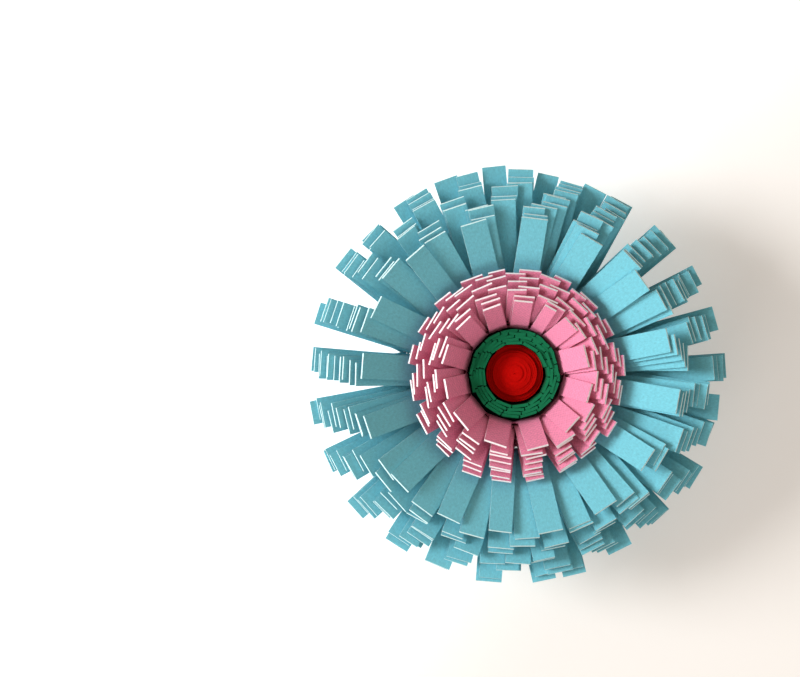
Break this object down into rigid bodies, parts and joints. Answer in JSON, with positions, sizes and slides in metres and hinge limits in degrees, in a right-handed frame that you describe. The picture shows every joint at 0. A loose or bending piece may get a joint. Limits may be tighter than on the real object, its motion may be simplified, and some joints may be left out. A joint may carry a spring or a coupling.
{
  "type": "paper flower magnet",
  "caption": "Round flower of fringed card strips wound in a coil, petals folded out in stepped layers round a red coil, on a flat disc magnet.",
  "frame": {"origin": "centre of the disc magnet's back face, on the axis of the wound strips", "axes": "+Z from the magnet out through the flower's face; +X to the right and +Y up as the flower is seen from the front"},
  "size_m": [0.0498, 0.0497, 0.0171],
  "materials": {
    "ferrite": "matt dark grey sintered ferrite",
    "red_paper": "matt, dyed through",
    "green_paper": "matt, dyed through",
    "pink_paper": "matt card with a fine grain and a white core that shows at the cut edges",
    "blue_paper": "matt card with a pale core that shows at the cut edges"
  },
  "bodies": {
    "root": {"magnet": "ferrite", "red_coil": "red_paper", "green_fringe": "green_paper", "pink_fringe": "pink_paper", "blue_fringe": "blue_paper"}
  },
  "joints": []
}
